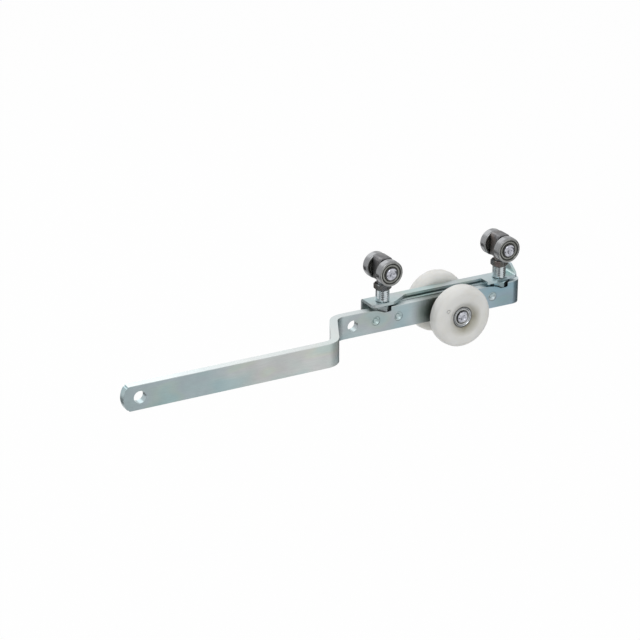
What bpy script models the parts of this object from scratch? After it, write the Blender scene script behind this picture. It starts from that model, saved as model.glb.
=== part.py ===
"""Sliding door roller: an offset flat-bar arm on two swivelling trolleys, with two guide wheels.

Metres. X runs along the track, Y across it and Z up. The origin is on the line where the
trolley rollers run on the track's lips, midway between the two swivel pins.
"""

import math

import bmesh
import bpy
from mathutils import Vector

FIT_GAP = 0.0003        # between neighbours that do not move on each other
RUNNING_GAP = 0.0001    # radial, where a journal turns in its bore
ROUND_SIDES = 24
SMALL_SIDES = 20

# Trolleys
PIN_PITCH = 0.106
ROLLER_RADIUS = 0.0102
ROLLER_WIDTH = 0.007
ROLLER_OFFSET = 0.0099          # from the swivel pin to the middle of a roller
ROLLER_RACE = (0.0057, 0.0073, 0.0016, 7)   # land, ball pitch, ball radius, balls
TROLLEY_AXLE_RADIUS = 0.004
AXLE_HEAD_RADIUS = 0.00475
AXLE_HEAD_HEIGHT = 0.0012
BLOCK_WIDTH = 0.011
BLOCK_DEPTH = 0.0112
BLOCK_TOP = 0.0206
BLOCK_BOTTOM = 0.0013
BLOCK_BOSS_RADIUS = 0.0052
BLOCK_NECK_RADIUS = 0.00465
STUD_RADIUS = 0.004
STUD_TOP = 0.0036
STUD_CHAMFER = 0.0004
LOCK_NUT_TOP = -0.001
LOCK_NUT_HEIGHT = 0.0047
LOCK_NUT_FLATS = 0.012          # the small type of nut for this stud
FOOT_NUT_HEIGHT = 0.0041
FOOT_NUT_FLATS = 0.013
SLEEVE_RADIUS = 0.0055

# Carriage bracket, folded from sheet
PLATE_TOP = -0.0157
SHEET = 0.0023
BRACKET_BEND = 0.003            # outside
BACK_WALL_Y = 0.0119            # its outer face
STRAP_Y = -0.00005              # the strap's middle plane
LUG_FRONT_Y = -0.0067
WAIST_FRONT_Y = 0.0029
END_FRONT_Y = -0.004
BRACKET_LEFT = -0.0651
BRACKET_RIGHT = 0.0687
LEFT_LUG_SLANT = (-0.046, -0.031)
RIGHT_LUG = (0.0385, 0.0475, 0.058)
STRAP_LEFT = -0.069
STRAP_RIGHT = 0.0624            # clear of the arm's bend
STRAP_TOP = -0.0235             # where it passes below a foot nut
STRAP_WELDS = ((0.0448, 0.0395), (-0.038, -0.0448))
WALL_RIGHT = 0.0643
EAR_TOP = -0.0092
EAR_FRONT_TOP_Y = 0.0058
EAR_INNER_BEND = 0.002

# Arm
BAR_HEIGHT = 0.019
BAR_THICKNESS = 0.006
BAR_TOP = -0.019
JOG_BEND_RADIUS = 0.0125        # of the bar's middle line
RETURN_BEND_RADIUS = 0.0065
BAR_EDGE = 0.0004
ARM_TIP = -0.2904
ARM_TIP_RADIUS = 0.014
ARM_RUN_Y = -0.046
CARRIAGE_RUN_Y = -0.0045
JOG_OUTER_X = -0.1192
JOG_INNER_X = -0.0985
RETURN_X = 0.06795
RETURN_END_Y = 0.0114
NUT_POCKET_RADIUS = 0.0084
NUT_POCKET_FLOOR = -0.0227
NUT_POCKET_CORNER = 0.0007
POCKET_LEAD = ((-0.0205, 0.0), (-0.0107, 0.0009), (-0.0063, 0.0022), (-0.003, 0.0032))
TIP_HOLE = (-0.2777, 0.00475)   # place along the bar, radius
DOOR_HOLE = (-0.083, 0.0045)
RIVET_PLACES = (-0.0628, -0.0429, 0.0426)
RIVET_Z = -0.0282
RIVET_RADIUS = 0.00325
RIVET_HEAD = ((0.0, 0.0014), (0.0034, 0.0011), (0.0046, 0.0))   # radius, height off the strap

# Guide wheels
WHEEL_AXLE_X = 0.0071
WHEEL_AXLE_Z = -0.03405
WHEEL_AXLE_RADIUS = 0.004
AXLE_TIP = 0.0064               # beyond the wheel's middle plane
AXLE_TIP_RADIUS = 0.0036
STAKE_RADIUS = 0.0046
STAKE_HEIGHT = 0.0006
SPACER_RADIUS = 0.006
WASHER_RADIUS = 0.005
WHEEL_RADIUS = 0.0248
WHEEL_WIDTH = 0.015
WHEEL_CORNER = 0.005
WHEEL_CROWN = 0.0003
DISH = (0.0105, 0.0145)         # its floor's and its rim's radius
WHEEL_PLANES = (("front", -0.0162), ("rear", 0.02))
WHEEL_BEARING_RADIUS = 0.008
WHEEL_BEARING_WIDTH = 0.009
WHEEL_RACE = (0.0054, 0.0062, 0.00105, 8)
EAR_HALF_LENGTHS = (0.0095, 0.0145)     # of the deeper wall at the axle: bottom, top

BAR_MIDDLE_Z = BAR_TOP - BAR_HEIGHT / 2
BAR_BOTTOM = BAR_TOP - BAR_HEIGHT
PLATE_UNDER = PLATE_TOP - SHEET
WALL_BOTTOM = BAR_BOTTOM + 0.001
WALL_EAR_BOTTOM = WALL_BOTTOM - 0.004
BACK_WALL_MIDDLE = BACK_WALL_Y - SHEET / 2
ALONG_Y = (math.radians(-90), 0, 0)
IN_XZ = (math.radians(90), 0, 0)
IN_YZ = (math.radians(90), 0, math.radians(90))


def clear_scene():
    for item in list(bpy.data.objects):
        bpy.data.objects.remove(item)


def make_collection(name):
    made = bpy.data.collections.new(name)
    bpy.context.scene.collection.children.link(made)
    return made


def make_material(name, colour, roughness, metallic):
    made = bpy.data.materials.new(name)
    made.use_nodes = True
    shader = made.node_tree.nodes["Principled BSDF"]
    shader.inputs["Base Color"].default_value = (*colour, 1.0)
    shader.inputs["Roughness"].default_value = roughness
    shader.inputs["Metallic"].default_value = metallic
    return made


def place(name, mesh, material, parent=None, location=(0, 0, 0), rotation=(0, 0, 0)):
    """Put a mesh in the parts collection as one sub-part."""
    made = bpy.data.objects.new(name, mesh)
    PARTS.objects.link(made)
    made.parent = parent
    made.location = location
    made.rotation_euler = rotation
    if not mesh.materials:
        mesh.materials.append(material)
    return made


def pivot(name, location, parent=None):
    """An empty on a joint's axis."""
    made = bpy.data.objects.new(name, None)
    made.empty_display_size = 0.01
    PARTS.objects.link(made)
    made.location = location
    made.parent = parent
    return made


def boolean(target, cutter, operation):
    """Cut or join with a blank that stays in the cutters collection."""
    for owner in cutter.users_collection:
        owner.objects.unlink(cutter)
    CUTTERS.objects.link(cutter)
    cutter.hide_render = True
    cutter.display_type = "WIRE"
    modifier = target.modifiers.new(operation.lower(), "BOOLEAN")
    modifier.operation = operation
    modifier.solver = "EXACT"
    modifier.object = cutter


def arc(centre, radius, start, end, steps):
    """Points of an arc, angles in degrees."""
    points = []
    for step in range(steps + 1):
        angle = math.radians(start + (end - start) * step / steps)
        points.append((centre[0] + radius * math.cos(angle), centre[1] + radius * math.sin(angle)))
    return points


def rounded(corners, closed=True, degrees_per_step=22.5):
    """Points through corners (x, y, radius), each corner turned by an arc of its radius."""
    points = []
    last = len(corners) - 1
    for index, (x, y, radius) in enumerate(corners):
        corner = Vector((x, y))
        if radius == 0 or (not closed and index in (0, last)):
            points.append((x, y))
            continue
        back = (Vector(corners[index - 1][:2]) - corner).normalized()
        on = (Vector(corners[(index + 1) % (last + 1)][:2]) - corner).normalized()
        half = back.angle(on) / 2
        centre = corner + (back + on).normalized() * radius / math.sin(half)
        start = corner + back * radius / math.tan(half) - centre
        end = corner + on * radius / math.tan(half) - centre
        first = math.degrees(math.atan2(start.y, start.x))
        turn = math.degrees(math.atan2(end.y, end.x)) - first
        turn = (turn + 180) % 360 - 180
        steps = max(2, round(abs(turn) / degrees_per_step))
        points += arc(centre, radius, first, first + turn, steps)
    return points


def beside(path, distance):
    """The corners (x, y, radius) of a line that runs beside a path, to its left if positive."""
    shifted = []
    for index, (x, y, radius) in enumerate(path):
        here = Vector((x, y))
        before = here - Vector(path[index - 1][:2]) if index else None
        after = Vector(path[index + 1][:2]) - here if index + 1 < len(path) else None
        before = (before or after).normalized()
        after = (after or before).normalized()
        left_before = Vector((-before.y, before.x))
        left_after = Vector((-after.y, after.x))
        move = (left_before + left_after) * distance / (1 + left_before.dot(left_after))
        turns_left = before.x * after.y - before.y * after.x > 0
        new_radius = radius - distance if turns_left else radius + distance
        shifted.append((x + move.x, y + move.y, new_radius if radius else 0))
    return shifted


def flat_mesh(name, outline, thickness, edge=0.0):
    """A flat outline in XY with its thickness shared either side of Z = 0."""
    curve = bpy.data.curves.new(name, "CURVE")
    curve.dimensions = "2D"
    curve.fill_mode = "BOTH"
    curve.extrude = thickness / 2 - edge
    curve.bevel_depth = edge
    curve.bevel_resolution = 0
    curve.offset = -edge
    spline = curve.splines.new("POLY")
    spline.points.add(len(outline) - 1)
    for point, (x, y) in zip(spline.points, outline):
        point.co = (x, y, 0, 1)
    spline.use_cyclic_u = True
    sketch = bpy.data.objects.new(name, curve)
    bpy.context.scene.collection.objects.link(sketch)
    bpy.context.view_layer.update()
    solid = sketch.evaluated_get(bpy.context.evaluated_depsgraph_get())
    mesh = bpy.data.meshes.new_from_object(solid)
    bpy.data.objects.remove(sketch)
    bpy.data.curves.remove(curve)
    build = bmesh.new()
    build.from_mesh(mesh)
    bmesh.ops.remove_doubles(build, verts=build.verts, dist=0.000001)
    bmesh.ops.dissolve_limit(build, angle_limit=0.001, verts=build.verts, edges=build.edges)
    bmesh.ops.recalc_face_normals(build, faces=build.faces)
    build.to_mesh(mesh)
    build.free()
    return mesh


def flat_blank(outline, thickness, location, rotation):
    """A flat solid used only to cut or join."""
    return place("blank", flat_mesh("blank", outline, thickness), ZINC, None, location, rotation)


def cylinder_mesh(radius, length, sides=SMALL_SIDES):
    mesh = bpy.data.meshes.new("cylinder")
    build = bmesh.new()
    bmesh.ops.create_cone(
        build, cap_ends=True, segments=sides, radius1=radius, radius2=radius, depth=length
    )
    build.to_mesh(mesh)
    build.free()
    mesh.shade_smooth()
    mesh.set_sharp_from_angle(angle=math.radians(40))
    return mesh


def hole(target, location, rotation, radius, length, parent=None):
    cutter = place("hole", cylinder_mesh(radius, length), ZINC, parent, location, rotation)
    boolean(target, cutter, "DIFFERENCE")


def turned(name, profile, material, parent, location, rotation=(0, 0, 0), sides=ROUND_SIDES, ring=True):
    """A profile (radius, height), listed down its outer side, turned about its own Z axis."""
    mesh = bpy.data.meshes.new(name)
    build = bmesh.new()
    verts = [build.verts.new((radius, 0, height)) for radius, height in profile]
    for first, second in zip(verts, verts[1:]):
        build.edges.new((first, second))
    if ring:
        build.edges.new((verts[-1], verts[0]))
    build.to_mesh(mesh)
    build.free()
    made = place(name, mesh, material, parent, location, rotation)
    screw = made.modifiers.new("turn", "SCREW")
    screw.steps = sides
    screw.render_steps = sides
    screw.use_merge_vertices = True
    screw.merge_threshold = 0.00001
    screw.use_smooth_shade = True
    return made


def tube_profile(outer, inner, length):
    """A plain ring."""
    half = length / 2
    return [(outer, half), (outer, -half), (inner, -half), (inner, half)]


def ball_bearing(name, parents, location, outer, bore, width, races):
    """A shielded ball bearing lying along Y: outer ring, inner ring, and balls in their cage.

    parents go ring by ring: outer ring, inner ring, ball set. races is the inner ring's outer
    radius, the radius of the balls' circle, the radius of a ball and the number of balls.
    """
    outer_parent, inner_parent, ball_parent = parents
    land, pitch, ball, ball_count = races
    half = width / 2
    chamfer = 0.0006
    shield_face = 0.0002
    shield = half - 0.0009
    ball_room = 0.0002
    race = pitch + ball + ball_room
    turned(
        name + "_outer_ring",
        [
            (outer - chamfer, half),
            (outer, half - chamfer),
            (outer, chamfer - half),
            (outer - chamfer, -half),
            (land + FIT_GAP, shield_face - half),
            (land + FIT_GAP, -shield),
            (race, -shield),
            (race, shield),
            (land + FIT_GAP, shield),
            (land + FIT_GAP, half - shield_face),
        ],
        BEARING_STEEL,
        outer_parent,
        location,
        ALONG_Y,
    )
    groove = pitch - ball - ball_room
    turned(
        name + "_inner_ring",
        [
            (land, half),
            (groove, ball / 2),
            (groove, -ball / 2),
            (land, -half),
            (bore, -half),
            (bore, half),
        ],
        BEARING_STEEL,
        inner_parent,
        location,
        ALONG_Y,
        sides=SMALL_SIDES,
    )
    cage_width = ball * 1.1
    cage_reach = ball * 0.3
    balls = turned(
        name + "_ball_set",
        tube_profile(pitch + cage_reach, pitch - cage_reach, cage_width),
        BALL_STEEL,
        ball_parent,
        location,
        ALONG_Y,
        sides=2 * ball_count,
    )
    mesh = bpy.data.meshes.new("balls")
    build = bmesh.new()
    for index in range(ball_count):
        angle = math.tau * (index + 0.5) / ball_count
        made = bmesh.ops.create_uvsphere(build, u_segments=6, v_segments=4, radius=ball)
        bmesh.ops.translate(
            build, verts=made["verts"], vec=(pitch * math.cos(angle), pitch * math.sin(angle), 0)
        )
    build.to_mesh(mesh)
    build.free()
    boolean(balls, place("balls", mesh, BALL_STEEL, ball_parent, location, ALONG_Y), "UNION")


def hex_nut(name, flats, height, top, material, parent):
    """A nut on the swivel axis, its corners broken by a turned cone, one corner toward -Y."""
    corner = flats / math.sqrt(3)
    slope = math.tan(math.radians(30))
    dome_radius = corner + 0.0006
    flat_top = 0.001                # the cone starts this far inside the flats
    low = height / 2 - (dome_radius - flats / 2) * slope
    high = height / 2 + flat_top * slope
    made = place(
        name, cylinder_mesh(corner, height, 6), material, parent, (0, 0, top - height / 2)
    )
    dome = turned(
        "nut_dome",
        [
            (0, high),
            (flats / 2 - flat_top, high),
            (dome_radius, low),
            (dome_radius, -height),
            (0, -height),
        ],
        material,
        parent,
        (0, 0, top - height / 2),
        ring=False,
    )
    boolean(made, dome, "INTERSECT")
    hole(made, (0, 0, top - height / 2), (0, 0, 0), STUD_RADIUS + FIT_GAP, 2 * height, parent)
    return made


def arm_bar():
    """The flat bar: long run, jog, carriage run and the short return that closes the carriage."""
    path = [
        (ARM_TIP, ARM_RUN_Y, 0),
        (JOG_OUTER_X, ARM_RUN_Y, JOG_BEND_RADIUS),
        (JOG_INNER_X, CARRIAGE_RUN_Y, JOG_BEND_RADIUS),
        (RETURN_X, CARRIAGE_RUN_Y, RETURN_BEND_RADIUS),
        (RETURN_X, RETURN_END_Y, 0),
    ]
    left = rounded(beside(path, BAR_THICKNESS / 2), closed=False, degrees_per_step=18)
    right = rounded(beside(path, -BAR_THICKNESS / 2), closed=False, degrees_per_step=18)
    mesh = flat_mesh("arm_bar", left + right[::-1], BAR_HEIGHT, BAR_EDGE)
    bar = place("arm_bar", mesh, ZINC, None, (0, 0, BAR_MIDDLE_Z))

    half = BAR_HEIGHT / 2
    spread = math.asin(half / ARM_TIP_RADIUS)
    corner_x = ARM_TIP + ARM_TIP_RADIUS * (1 - math.cos(spread))
    beyond = ARM_TIP - half
    outline = [(corner_x, BAR_HEIGHT), (beyond, BAR_HEIGHT), (beyond, -BAR_HEIGHT), (corner_x, -BAR_HEIGHT)]
    turn = math.degrees(spread)
    outline += arc((ARM_TIP + ARM_TIP_RADIUS, 0), ARM_TIP_RADIUS, 180 + turn, 180 - turn, 12)
    place_at = (0, ARM_RUN_Y, BAR_MIDDLE_Z)
    boolean(bar, flat_blank(outline, 2 * BAR_THICKNESS, place_at, IN_XZ), "DIFFERENCE")

    hole(bar, (TIP_HOLE[0], ARM_RUN_Y, BAR_MIDDLE_Z), ALONG_Y, TIP_HOLE[1], 2 * BAR_THICKNESS)
    hole(bar, (DOOR_HOLE[0], CARRIAGE_RUN_Y, BAR_MIDDLE_Z), ALONG_Y, DOOR_HOLE[1], 2 * BAR_THICKNESS)
    for x in RIVET_PLACES:
        hole(bar, (x, CARRIAGE_RUN_Y, RIVET_Z), ALONG_Y, RIVET_RADIUS + FIT_GAP, 2 * BAR_THICKNESS)
    nut_pockets(bar)

    slot = WHEEL_AXLE_RADIUS + 0.0005
    outline = arc((WHEEL_AXLE_X, WHEEL_AXLE_Z), slot, 180, 0, 12)
    outline += [(WHEEL_AXLE_X + slot, 2 * BAR_BOTTOM), (WHEEL_AXLE_X - slot, 2 * BAR_BOTTOM)]
    boolean(bar, flat_blank(outline, 2 * BAR_THICKNESS, (0, CARRIAGE_RUN_Y, 0), IN_XZ), "DIFFERENCE")


def nut_pockets(bar):
    """Room in the bar's top edge for each foot nut to turn in, with a long shallow lead-in."""
    for side in (-1, 1):
        x = side * PIN_PITCH / 2
        lead = [(x + offset, BAR_TOP - depth) for offset, depth in POCKET_LEAD]
        outline = [(lead[0][0], 0)] + lead + [(lead[-1][0], 0)]
        blank = flat_blank(outline, 2 * BAR_THICKNESS, (0, CARRIAGE_RUN_Y, 0), IN_XZ)
        boolean(bar, blank, "DIFFERENCE")
        pocket = turned(
            "pocket",
            [
                (0, 0),
                (NUT_POCKET_RADIUS, 0),
                (NUT_POCKET_RADIUS, NUT_POCKET_FLOOR + NUT_POCKET_CORNER),
                (NUT_POCKET_RADIUS - NUT_POCKET_CORNER, NUT_POCKET_FLOOR),
                (0, NUT_POCKET_FLOOR),
            ],
            ZINC,
            None,
            (x, 0, 0),
            sides=36,
            ring=False,
        )
        boolean(bar, pocket, "DIFFERENCE")


def axle_ear(x_left, x_right):
    """Corners along a wall's bottom edge, with the deeper part that holds the wheel axle."""
    draw = 0.0001
    corner = 0.002
    deep, wide = EAR_HALF_LENGTHS
    return [
        (x_left, WALL_BOTTOM, 0),
        (WHEEL_AXLE_X - wide, WALL_BOTTOM, corner),
        (WHEEL_AXLE_X - deep, WALL_EAR_BOTTOM, corner),
        (WHEEL_AXLE_X + deep, WALL_EAR_BOTTOM + draw, corner),
        (WHEEL_AXLE_X + wide, WALL_BOTTOM - draw, corner),
        (x_right, WALL_BOTTOM + draw, 0),
    ]


def carriage_bracket():
    """Top plate and back wall folded from sheet, with the strap welded below it and an end ear."""
    spare = 0.002                   # blanks run this far past the lines that trim them
    wall_end = WALL_EAR_BOTTOM - spare
    profile = rounded(
        [
            (LUG_FRONT_Y - spare, PLATE_TOP, 0),
            (LUG_FRONT_Y - spare, PLATE_UNDER, 0),
            (BACK_WALL_Y - SHEET, PLATE_UNDER, BRACKET_BEND - SHEET),
            (BACK_WALL_Y - SHEET, wall_end, 0),
            (BACK_WALL_Y, wall_end, 0),
            (BACK_WALL_Y, PLATE_TOP, BRACKET_BEND),
        ]
    )
    start = BRACKET_LEFT - spare
    length = BRACKET_RIGHT - start
    mesh = flat_mesh("carriage_bracket", profile, length)
    bracket = place("carriage_bracket", mesh, ZINC, None, (start + length / 2, 0, 0), IN_YZ)

    slant_start, slant_end = LEFT_LUG_SLANT
    lug_left, lug_right, lug_end = RIGHT_LUG
    soft = 0.003
    crisp = 0.0005
    plan = rounded(
        [
            (BRACKET_LEFT, LUG_FRONT_Y, soft),
            (slant_start, LUG_FRONT_Y, soft),
            (slant_end, WAIST_FRONT_Y, soft),
            (lug_left, WAIST_FRONT_Y, crisp),
            (lug_left, LUG_FRONT_Y, crisp),
            (lug_right, LUG_FRONT_Y, crisp),
            (lug_end, END_FRONT_Y, crisp),
            (BRACKET_RIGHT + spare, END_FRONT_Y, 0),
            (BRACKET_RIGHT + spare, 2 * BACK_WALL_Y, 0),
            (BRACKET_LEFT, 2 * BACK_WALL_Y, 0),
        ]
    )
    plan_depth = 0.08
    boolean(bracket, flat_blank(plan, plan_depth, (0, 0, PLATE_TOP), (0, 0, 0)), "INTERSECT")

    trim_top = PLATE_UNDER - 0.0004
    trim_left = BRACKET_LEFT - 0.01
    trim_right = BRACKET_RIGHT + 0.01
    trim_bottom = 2 * WALL_EAR_BOTTOM
    below = rounded(
        axle_ear(trim_left, WALL_RIGHT)
        + [
            (WALL_RIGHT, trim_top, 0),
            (trim_right, trim_top, 0),
            (trim_right, trim_bottom, 0),
            (trim_left, trim_bottom, 0),
        ]
    )
    trim_depth = 0.02
    boolean(bracket, flat_blank(below, trim_depth, (0, BACK_WALL_MIDDLE, 0), IN_XZ), "DIFFERENCE")

    clear_top = PLATE_UNDER - FIT_GAP
    welded_top = PLATE_UNDER + SHEET / 2
    strap = axle_ear(STRAP_LEFT, STRAP_RIGHT) + [(STRAP_RIGHT, STRAP_TOP, 0)]
    levels = ((STRAP_TOP, clear_top), (clear_top, STRAP_TOP))
    for (right_end, left_end), (right_level, left_level) in zip(STRAP_WELDS, levels):
        strap += [
            (right_end, right_level, 0),
            (right_end, welded_top, 0),
            (left_end, welded_top, 0),
            (left_end, left_level, 0),
        ]
    strap.append((STRAP_LEFT, STRAP_TOP, 0))
    boolean(bracket, flat_blank(rounded(strap), SHEET, (0, STRAP_Y, 0), IN_XZ), "UNION")
    end_ear(bracket)

    hole_length = 0.008
    for side in (-1, 1):
        pin = (side * PIN_PITCH / 2, 0, PLATE_TOP)
        hole(bracket, pin, (0, 0, 0), STUD_RADIUS + FIT_GAP, hole_length)
    for x in RIVET_PLACES:
        hole(bracket, (x, STRAP_Y, RIVET_Z), ALONG_Y, RIVET_RADIUS + FIT_GAP, 2 * SHEET)
    axle_hole = WHEEL_AXLE_RADIUS + FIT_GAP
    through = 0.03
    axle_at = (WHEEL_AXLE_X, BACK_WALL_MIDDLE / 2, WHEEL_AXLE_Z)
    hole(bracket, axle_at, ALONG_Y, axle_hole, through)


def end_ear(bracket):
    """The ear turned up at the plate's right end, its front edge sloping back toward the top."""
    inner = BRACKET_RIGHT - SHEET
    root = PLATE_TOP - 0.0005
    root_bottom = root - 0.001
    root_left = inner - 0.0025
    ear = rounded(
        [
            (root_left, root_bottom, 0),
            (BRACKET_RIGHT, root_bottom, 0),
            (BRACKET_RIGHT, EAR_TOP, 0),
            (inner, EAR_TOP, 0),
            (inner, root, EAR_INNER_BEND),
            (root_left, root, 0),
        ]
    )
    front = END_FRONT_Y + 0.0011
    length = BACK_WALL_Y - front
    blank = flat_blank(ear, length, (0, BACK_WALL_Y - length / 2, 0), IN_XZ)
    far_front = END_FRONT_Y - 0.002
    lift = 0.00005
    slope = [
        (far_front, PLATE_TOP),
        (front - 0.0001, PLATE_TOP),
        (EAR_FRONT_TOP_Y, EAR_TOP),
        (EAR_FRONT_TOP_Y, 0),
        (far_front, 0),
    ]
    slope_depth = 0.02
    cutter = flat_blank(slope, slope_depth, (BRACKET_RIGHT, 0, lift), IN_YZ)
    boolean(blank, cutter, "DIFFERENCE")
    boolean(bracket, blank, "UNION")


def rivets():
    """Rivets that fix the bar to the strap: flush in front, a low head behind the strap."""
    front = CARRIAGE_RUN_Y - BAR_THICKNESS / 2
    back = STRAP_Y + SHEET / 2 + FIT_GAP
    head = [(radius, back + height) for radius, height in RIVET_HEAD]
    shank = [(RIVET_RADIUS, back), (RIVET_RADIUS, front), (0, front)]
    for index, x in enumerate(RIVET_PLACES):
        name = f"strap_rivet_{index + 1}"
        at = (x, 0, RIVET_Z)
        turned(name, head + shank, RIVET_STEEL, None, at, ALONG_Y, sides=SMALL_SIDES, ring=False)


def wheel_axle():
    """The axle across the carriage with staked ends, and the spacer tube between the walls."""
    front = WHEEL_PLANES[0][1]
    rear = WHEEL_PLANES[1][1]
    ring_face = WHEEL_BEARING_WIDTH / 2 + FIT_GAP
    turned(
        "wheel_axle",
        [
            (0, rear + AXLE_TIP),
            (AXLE_TIP_RADIUS, rear + AXLE_TIP),
            (STAKE_RADIUS, rear + ring_face + STAKE_HEIGHT),
            (STAKE_RADIUS, rear + ring_face),
            (WHEEL_AXLE_RADIUS, rear + ring_face),
            (WHEEL_AXLE_RADIUS, front - ring_face),
            (STAKE_RADIUS, front - ring_face),
            (STAKE_RADIUS, front - ring_face - STAKE_HEIGHT),
            (AXLE_TIP_RADIUS, front - AXLE_TIP),
            (0, front - AXLE_TIP),
        ],
        BRIGHT_STEEL,
        None,
        (WHEEL_AXLE_X, 0, WHEEL_AXLE_Z),
        ALONG_Y,
        ring=False,
    )
    near = STRAP_Y + SHEET / 2 + FIT_GAP
    far = BACK_WALL_Y - SHEET - FIT_GAP
    turned(
        "axle_spacer",
        tube_profile(SPACER_RADIUS, WHEEL_AXLE_RADIUS + FIT_GAP, far - near),
        ZINC,
        None,
        (WHEEL_AXLE_X, (near + far) / 2, WHEEL_AXLE_Z),
        ALONG_Y,
        sides=SMALL_SIDES,
    )


def guide_wheel(side, plane):
    """A nylon wheel on its ball bearing, and the washer that keeps it off the carriage."""
    centre = (WHEEL_AXLE_X, plane, WHEEL_AXLE_Z)
    wheel = pivot(f"{side}_wheel_pivot", centre)
    cage = pivot(f"{side}_cage_pivot", centre)
    half = WHEEL_WIDTH / 2
    hub_face = WHEEL_BEARING_WIDTH / 2 - 0.0003
    dish_floor, dish_rim = DISH
    outer_face = [
        (WHEEL_BEARING_RADIUS + FIT_GAP, hub_face),
        (dish_floor, hub_face + 0.0003),
        (dish_rim, half),
    ]
    shoulder = (WHEEL_RADIUS - WHEEL_CROWN - WHEEL_CORNER, half - WHEEL_CORNER)
    outer_face += arc(shoulder, WHEEL_CORNER, 90, 0, 5)
    inner_face = [(radius, -height) for radius, height in outer_face[::-1]]
    profile = outer_face + [(WHEEL_RADIUS, 0)] + inner_face
    turned(f"{side}_nylon_wheel", profile, NYLON, wheel, (0, 0, 0), ALONG_Y, sides=40)
    name = f"{side}_wheel_bearing"
    bore = WHEEL_AXLE_RADIUS + FIT_GAP
    parents = (wheel, None, cage)
    sizes = (WHEEL_BEARING_RADIUS, bore, WHEEL_BEARING_WIDTH, WHEEL_RACE)
    ball_bearing(name, parents, (0, 0, 0), *sizes)
    bpy.data.objects[name + "_inner_ring"].location = centre

    wall = CARRIAGE_RUN_Y - BAR_THICKNESS / 2 if side == "front" else BACK_WALL_Y
    outward = math.copysign(1, plane - wall)
    ring_face = plane - outward * WHEEL_BEARING_WIDTH / 2
    thickness = abs(ring_face - wall) - 2 * FIT_GAP
    turned(
        f"{side}_wheel_washer",
        tube_profile(WASHER_RADIUS, bore, thickness),
        ZINC,
        None,
        (WHEEL_AXLE_X, (ring_face + wall) / 2, WHEEL_AXLE_Z),
        ALONG_Y,
        sides=SMALL_SIDES,
    )


def trolley_block(side, swivel):
    """The steel block between the rollers, with a neck below it and a boss beside each roller."""
    half = BLOCK_WIDTH / 2
    top_corner = 0.0028
    low_corner = 0.002
    outline = rounded(
        [
            (-half, BLOCK_TOP, top_corner),
            (-half, BLOCK_BOTTOM, low_corner),
            (half, BLOCK_BOTTOM, low_corner),
            (half, BLOCK_TOP, top_corner),
        ]
    )
    mesh = flat_mesh("trolley_block", outline, BLOCK_DEPTH, 0.0005)
    block = place(f"{side}_trolley_block", mesh, DARK_STEEL, swivel, (0, 0, 0), IN_XZ)
    boss_mesh = cylinder_mesh(BLOCK_BOSS_RADIUS, 2 * (ROLLER_OFFSET - ROLLER_WIDTH / 2 - FIT_GAP))
    boss = place("boss", boss_mesh, DARK_STEEL, swivel, (0, 0, ROLLER_RADIUS), ALONG_Y)
    boolean(block, boss, "UNION")
    neck_bottom = LOCK_NUT_TOP + FIT_GAP
    neck_length = BLOCK_BOTTOM + 0.001 - neck_bottom
    neck_at = (0, 0, neck_bottom + neck_length / 2)
    neck = place("neck", cylinder_mesh(BLOCK_NECK_RADIUS, neck_length), DARK_STEEL, swivel, neck_at)
    boolean(block, neck, "UNION")
    axle_hole = TROLLEY_AXLE_RADIUS + FIT_GAP
    hole(block, (0, 0, ROLLER_RADIUS), ALONG_Y, axle_hole, 2 * BLOCK_DEPTH, swivel)
    hole(block, (0, 0, 0), (0, 0, 0), STUD_RADIUS + FIT_GAP, 2 * (STUD_TOP + FIT_GAP), swivel)


def trolley_axle(side, swivel):
    """The pin through both rollers, riveted over at its ends round a centre punch mark."""
    face = ROLLER_OFFSET + ROLLER_WIDTH / 2 + FIT_GAP
    top = face + AXLE_HEAD_HEIGHT
    ends = [
        (0, top),
        (AXLE_HEAD_RADIUS - 0.0007, top),
        (AXLE_HEAD_RADIUS, face + AXLE_HEAD_HEIGHT / 2),
        (AXLE_HEAD_RADIUS, face),
        (TROLLEY_AXLE_RADIUS, face),
    ]
    profile = ends + [(radius, -height) for radius, height in ends[::-1]]
    name = f"{side}_trolley_axle"
    at = (0, 0, ROLLER_RADIUS)
    turned(name, profile, BRIGHT_STEEL, swivel, at, ALONG_Y, sides=SMALL_SIDES, ring=False)


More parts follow.
